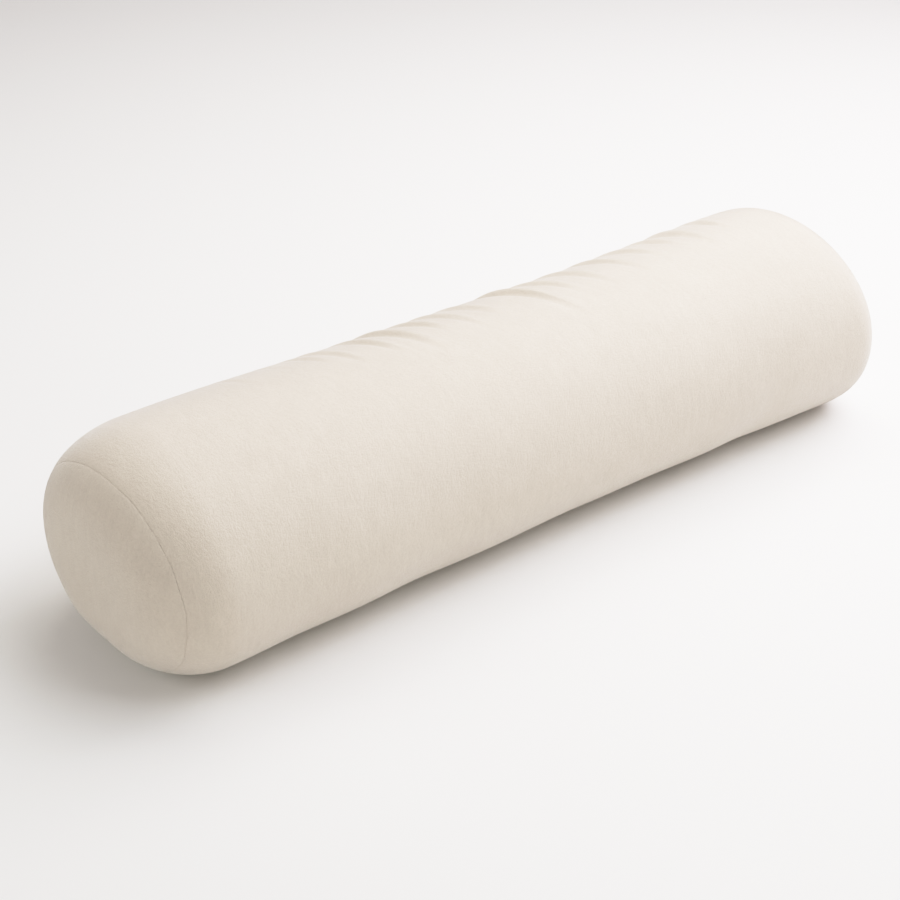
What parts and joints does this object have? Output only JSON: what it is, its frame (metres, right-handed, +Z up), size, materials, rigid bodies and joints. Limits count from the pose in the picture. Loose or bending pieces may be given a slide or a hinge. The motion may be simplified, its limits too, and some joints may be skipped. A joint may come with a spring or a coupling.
{
  "type": "body pillow",
  "caption": "Long round body pillow of off-white brushed cloth with domed round end panels and soft tension creases over its back, resting flat on its underside.",
  "frame": {"origin": "on the surface the pillow lies on, below the middle of its bounding box", "axes": "+X along the pillow from the near end to the far end, +Z up, -Y the front"},
  "size_m": [1.1868, 0.3486, 0.2874],
  "materials": {
    "brushed_cloth": "matte, softly brushed"
  },
  "bodies": {
    "root": {"tube_body": "brushed_cloth", "end_panel_near": "brushed_cloth", "end_panel_far": "brushed_cloth"}
  },
  "joints": []
}
